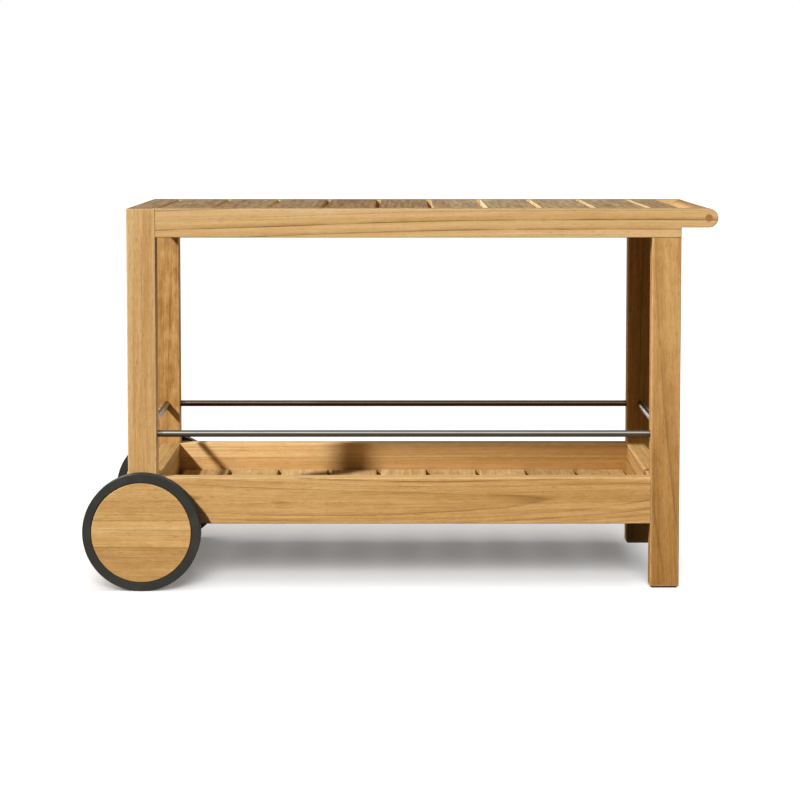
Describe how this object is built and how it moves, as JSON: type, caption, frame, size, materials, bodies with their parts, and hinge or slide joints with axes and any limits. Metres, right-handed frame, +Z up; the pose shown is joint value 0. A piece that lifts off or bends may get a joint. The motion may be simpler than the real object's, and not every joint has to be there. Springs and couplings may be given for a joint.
{
  "type": "bar cart",
  "caption": "Wooden bar cart with a slatted top, a slatted tray below it behind steel guard rods, a handle bar at one end and rubber-tyred wheels at the other.",
  "frame": {"origin": "on the floor, under the middle of the cart's box", "axes": "+X to the handle, +Y to the back, +Z up"},
  "size_m": [1.3114, 0.6, 0.79],
  "materials": {
    "teak_frame": "sanded, light oil",
    "teak_top": "sanded, light oil, a little weathered",
    "teak_inside": "sanded",
    "teak_wheel": "sanded, light oil",
    "guard_rod_steel": "brushed",
    "axle_steel": "turned",
    "screw_steel": "rolled",
    "tyre_rubber": "matt moulded",
    "bearing_plastic": "turned",
    "glide_plastic": "moulded"
  },
  "bodies": {
    "frame": {"axle": "axle_steel", "foot_glide_back": "glide_plastic", "foot_glide_front": "glide_plastic", "guard_rod_back": "guard_rod_steel", "guard_rod_front": "guard_rod_steel", "guard_rod_handle": "guard_rod_steel", "guard_rod_wheel": "guard_rod_steel", "handle_bar": "teak_frame", "ledger_screws": "screw_steel", "leg_back_handle": "teak_frame", "leg_back_wheel": "teak_frame", "leg_front_handle": "teak_frame", "leg_front_wheel": "teak_frame", "retaining_ring_back": "axle_steel", "retaining_ring_front": "axle_steel", "side_rail_back": "teak_frame", "side_rail_front": "teak_frame", "slat_screws": "screw_steel", "top_end_rail_handle": "teak_top", "top_end_rail_wheel": "teak_top", "top_ledger_back": "teak_inside", "top_ledger_front": "teak_inside", "top_slat_1": "teak_top", "top_slat_2": "teak_top", "top_slat_3": "teak_top", "top_slat_4": "teak_top", "top_slat_5": "teak_top", "top_slat_6": "teak_top", "top_slat_7": "teak_top", "top_slat_8": "teak_top", "top_slat_9": "teak_top", "tray_apron_back": "teak_frame", "tray_apron_front": "teak_frame", "tray_apron_handle": "teak_frame", "tray_apron_wheel": "teak_frame", "tray_ledger_back": "teak_inside", "tray_ledger_front": "teak_inside", "tray_slat_1": "teak_inside", "tray_slat_2": "teak_inside", "tray_slat_3": "teak_inside", "tray_slat_4": "teak_inside", "tray_slat_5": "teak_inside", "tray_slat_6": "teak_inside", "tray_slat_7": "teak_inside", "tray_slat_8": "teak_inside", "tray_slat_9": "teak_inside", "wheel_spacer_back": "bearing_plastic", "wheel_spacer_front": "bearing_plastic", "wheel_washer_back": "axle_steel", "wheel_washer_front": "axle_steel"},
    "front_wheel": {"wheel_core_front": "teak_wheel", "wheel_face_front": "teak_wheel", "tyre_front": "tyre_rubber", "wheel_bush_front": "bearing_plastic"},
    "back_wheel": {"wheel_core_back": "teak_wheel", "wheel_face_back": "teak_wheel", "tyre_back": "tyre_rubber", "wheel_bush_back": "bearing_plastic"}
  },
  "joints": [
    {"name": "front_wheel_spin", "type": "hinge", "parent": "frame", "child": "front_wheel", "pos_m": [-0.53375, -0.285, 0.122], "axis": [0, 1, 0], "continuous": true},
    {"name": "back_wheel_spin", "type": "hinge", "parent": "frame", "child": "back_wheel", "pos_m": [-0.53375, 0.285, 0.122], "axis": [0, 1, 0], "continuous": true}
  ]
}
